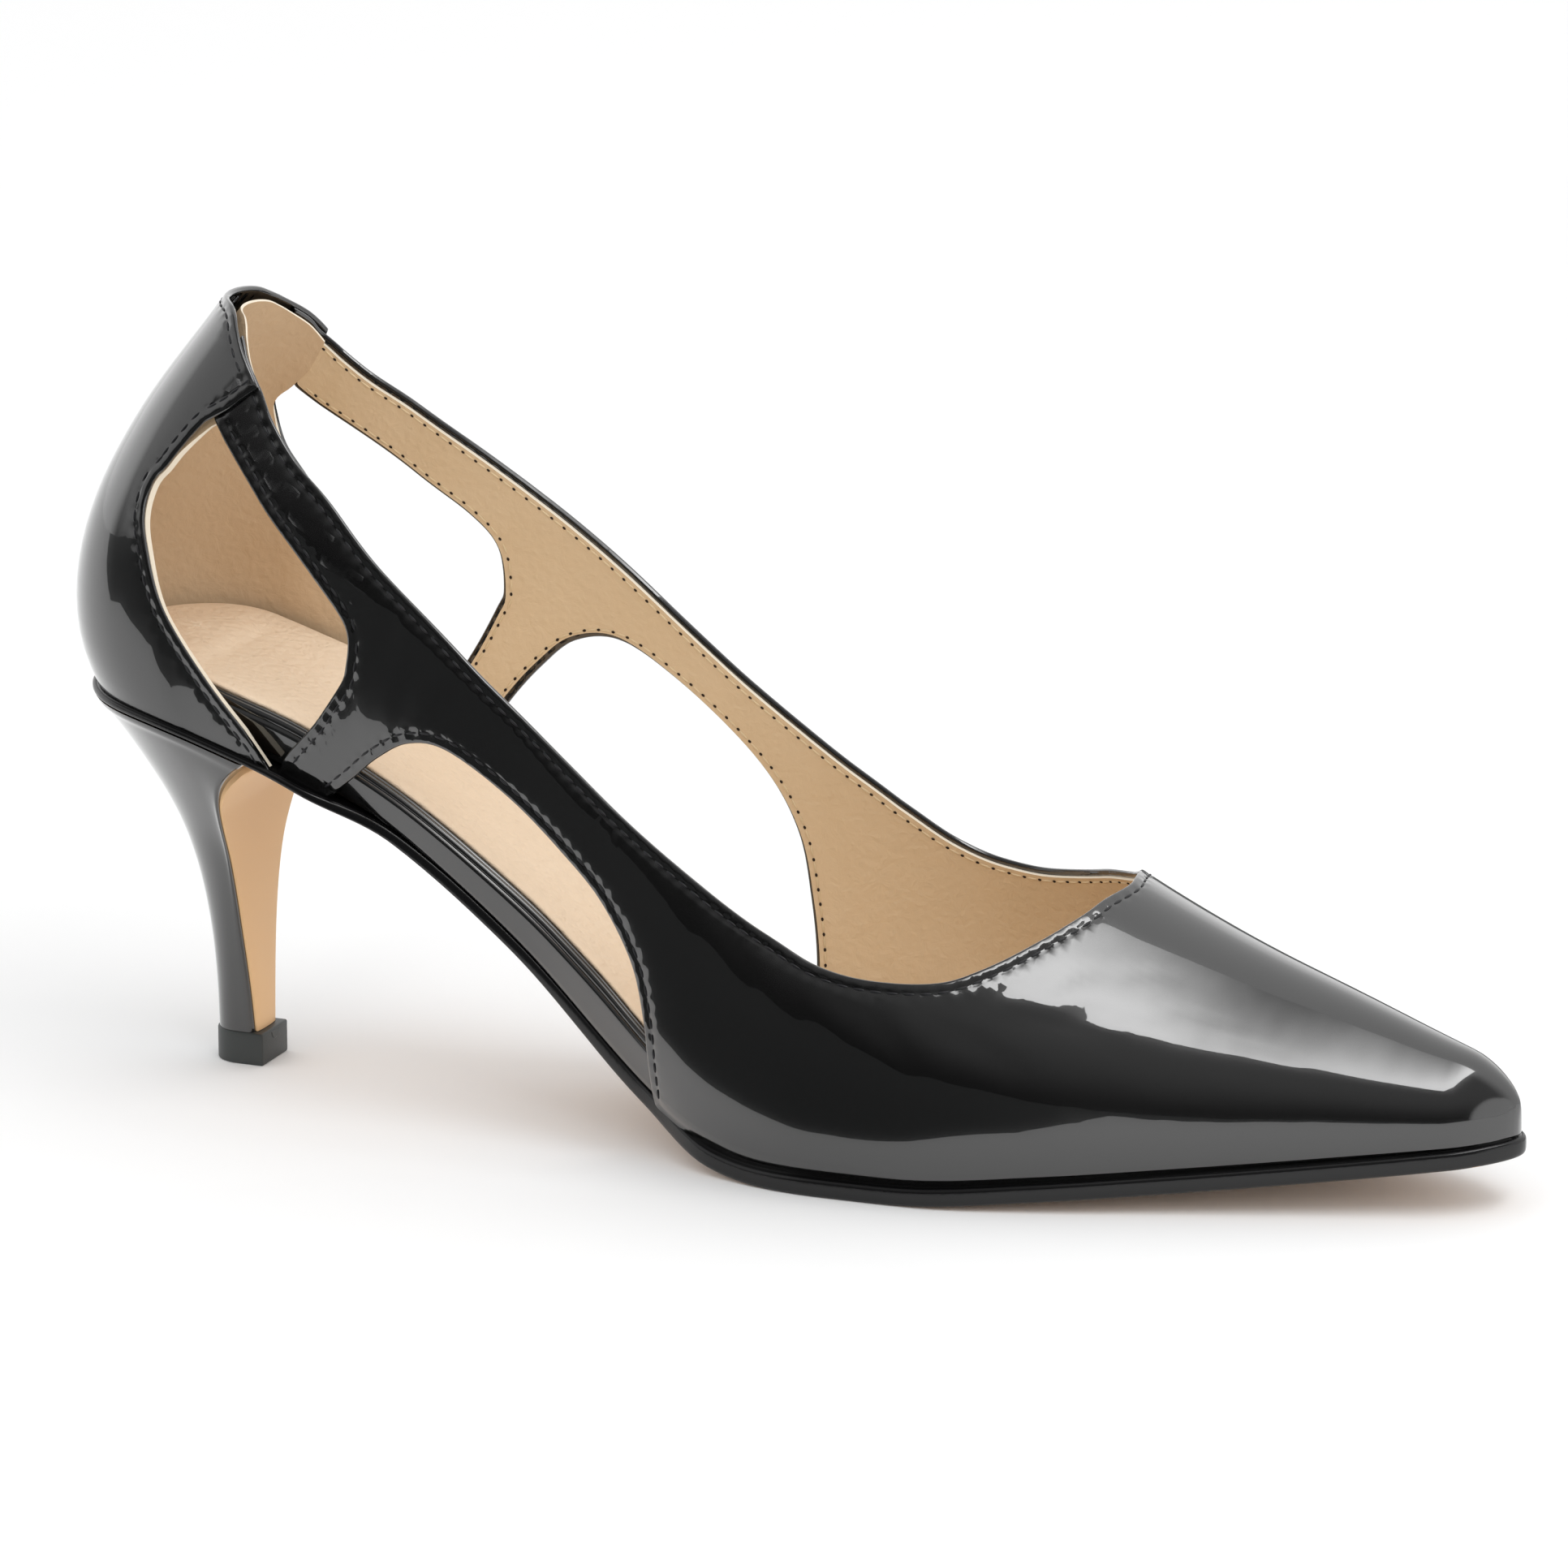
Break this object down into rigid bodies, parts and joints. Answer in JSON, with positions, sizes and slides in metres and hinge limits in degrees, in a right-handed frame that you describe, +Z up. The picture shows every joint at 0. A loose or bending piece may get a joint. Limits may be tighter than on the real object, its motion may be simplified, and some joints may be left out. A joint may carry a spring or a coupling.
{
  "type": "cut-out pump",
  "caption": "Pointed high-heeled pump with side cut-outs, a strap along each side of the collar and a slim covered heel.",
  "frame": {"origin": "on the floor, under the middle of the shoe", "axes": "+X from heel to toe, +Y to the big-toe side, +Z up"},
  "size_m": [0.2504, 0.0772, 0.1319],
  "materials": {
    "upper": "black patent leather, beige leather lining",
    "counter": "black patent leather",
    "insole": "board wrapped in black patent leather",
    "sock": "beige leather, fine grain",
    "outsole": "black edge, tan underside and heel flap",
    "heel": "wrapped in black patent leather",
    "top_piece": "matt dark grey"
  },
  "bodies": {
    "root": {"upper": "upper", "counter": "counter", "insole": "insole", "sock": "sock", "outsole": "outsole", "heel": "heel", "top_piece": "top_piece"}
  },
  "joints": []
}
